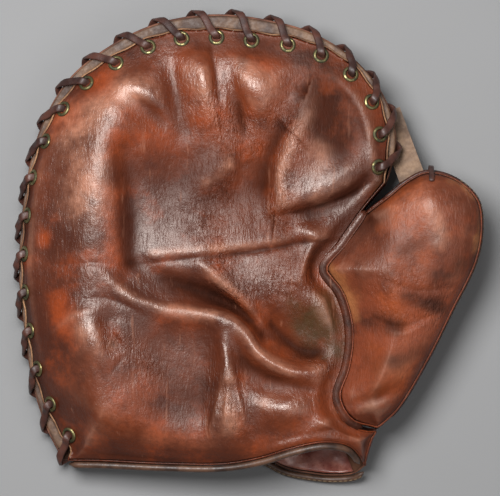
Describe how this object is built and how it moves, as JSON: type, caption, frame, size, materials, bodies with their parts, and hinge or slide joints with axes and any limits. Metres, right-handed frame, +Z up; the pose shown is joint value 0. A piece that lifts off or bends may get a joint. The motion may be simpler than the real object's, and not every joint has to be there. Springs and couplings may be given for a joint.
{
  "type": "first baseman's mitt",
  "caption": "First baseman's mitt: padded leather palm and thumb over a plain back, laced round the finger edge through brass eyelets, with an open wrist.",
  "frame": {"origin": "on the floor, under the middle of the mitt's bounding box", "axes": "+Z up out of the palm, +Y from the heel to the finger tips, thumb on the +X side"},
  "size_m": [0.302, 0.3054, 0.0726],
  "materials": {
    "palm_leather": "worn, with patches of sheen",
    "back_leather": "worn satin",
    "edge_leather": "raw cut edge, matte",
    "welt_leather": "dark, satin",
    "lace_leather": "dark, slightly shiny",
    "lining_leather": "soft, pinkish brown",
    "web_leather": "tan, matte",
    "brass": "tarnished, with green in the rims"
  },
  "bodies": {
    "root": {"palm": "palm_leather", "back": "back_leather", "thumb_front": "palm_leather", "thumb_back": "back_leather", "rim_lace": "lace_leather", "rim_welt": "edge_leather", "seam_welt": "welt_leather", "thumb_welt": "welt_leather", "palm_binding": "welt_leather", "back_binding": "edge_leather", "wrist_lining": "lining_leather", "web_strap": "web_leather", "web_tie": "welt_leather", "eyelet_01": "brass", "eyelet_02": "brass", "eyelet_03": "brass", "eyelet_04": "brass", "eyelet_05": "brass", "eyelet_06": "brass", "eyelet_07": "brass", "eyelet_08": "brass", "eyelet_09": "brass", "eyelet_10": "brass", "eyelet_11": "brass", "eyelet_12": "brass", "eyelet_13": "brass", "eyelet_14": "brass", "eyelet_15": "brass", "eyelet_16": "brass", "eyelet_17": "brass", "eyelet_18": "brass", "eyelet_19": "brass", "eyelet_20": "brass", "eyelet_21": "brass", "eyelet_22": "brass"}
  },
  "joints": []
}
